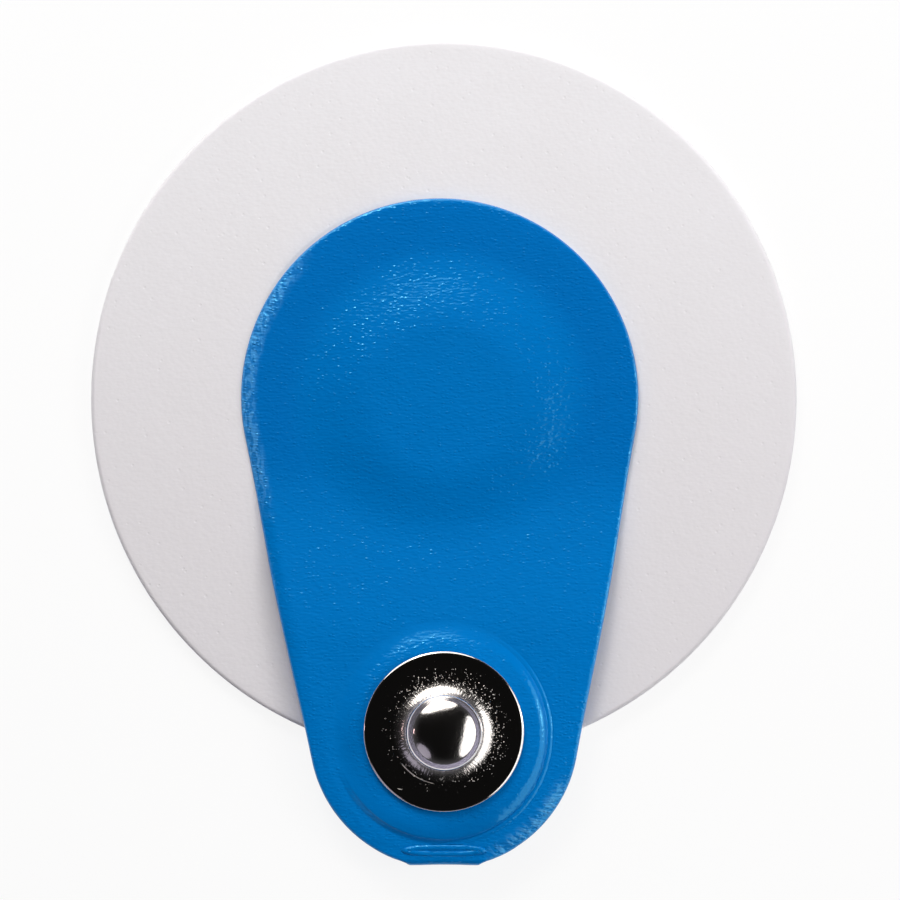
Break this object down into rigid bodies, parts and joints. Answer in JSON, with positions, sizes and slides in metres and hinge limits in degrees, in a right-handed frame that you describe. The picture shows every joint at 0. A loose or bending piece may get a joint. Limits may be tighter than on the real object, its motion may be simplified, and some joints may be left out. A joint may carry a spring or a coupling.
{
  "type": "ecg electrode",
  "caption": "Disposable ECG electrode: a round white foam disc with a gel pad under a blue tear-shaped label, and an offset press stud on the label's free tab.",
  "frame": {"origin": "centre of the gel pad's underside, on the skin plane", "axes": "+Z away from the skin, the way the stud points; the stud and tab lie towards -Y; +X to the right when looking down with the tab nearest"},
  "size_m": [0.048, 0.0561, 0.0063],
  "materials": {
    "adhesive_disc": "white closed-cell foam, matt, finely pebbled",
    "gel_pad": "off-white open sponge, wet with clear gel",
    "sensor_plate": "silver chloride coating, dull grey",
    "lead_strip": "black carbon-filled film",
    "label": "blue soft vinyl, fine leather grain, satin",
    "stiffening_washer": "white plastic sheet",
    "stud": "nickel plate, polished",
    "eyelet": "silver plate, bright"
  },
  "bodies": {
    "root": {"adhesive_disc": "adhesive_disc", "gel_pad": "gel_pad", "sensor_plate": "sensor_plate", "lead_strip": "lead_strip", "label": "label", "stiffening_washer": "stiffening_washer", "stud": "stud", "eyelet": "eyelet"}
  },
  "joints": []
}
